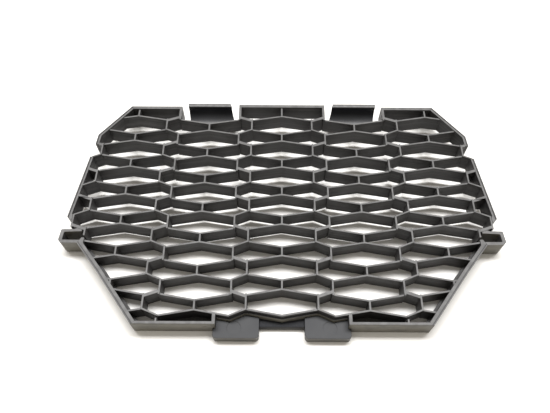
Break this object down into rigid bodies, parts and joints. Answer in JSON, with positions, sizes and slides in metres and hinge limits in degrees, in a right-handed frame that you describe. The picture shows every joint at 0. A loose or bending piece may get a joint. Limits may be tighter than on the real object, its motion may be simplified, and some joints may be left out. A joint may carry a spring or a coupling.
{
  "type": "front grille",
  "caption": "Honeycomb front grille insert with a rimmed outline, side locating lugs, top edge hooks and lower snap tabs, moulded in charcoal plastic.",
  "frame": {"origin": "centre of the grille's rear face, on the plane it rests on", "axes": "+Z out of the front face, +Y towards the top edge with the hooks, +X along the width"},
  "size_m": [0.3908, 0.24, 0.018],
  "materials": {
    "textured_plastic": "fine moulded texture, matte",
    "smooth_plastic": "smooth moulded, semi-matte"
  },
  "bodies": {
    "root": {"spine_outer_left": "textured_plastic", "spine_left": "textured_plastic", "spine_inner_left": "textured_plastic", "spine_inner_right": "textured_plastic", "spine_right": "textured_plastic", "spine_outer_right": "textured_plastic", "webs_outer_left": "textured_plastic", "webs_left": "textured_plastic", "webs_centre": "textured_plastic", "webs_right": "textured_plastic", "webs_outer_right": "textured_plastic", "top_rail_left": "textured_plastic", "top_rail_centre": "textured_plastic", "top_rail_right": "textured_plastic", "shoulder_rail_left": "textured_plastic", "shoulder_rail_right": "textured_plastic", "side_rail_left": "textured_plastic", "side_rail_right": "textured_plastic", "lower_rail_left": "textured_plastic", "lower_rail_right": "textured_plastic", "bottom_rail_left": "textured_plastic", "bottom_rail_right": "textured_plastic", "side_lug_left": "textured_plastic", "side_lug_right": "textured_plastic", "top_hook_left": "smooth_plastic", "top_hook_right": "smooth_plastic", "gap_skirt": "textured_plastic", "lower_tab_left": "smooth_plastic", "lower_tab_right": "smooth_plastic", "tab_bar": "smooth_plastic", "pocket_floor_left": "textured_plastic", "pocket_floor_right": "textured_plastic"}
  },
  "joints": []
}
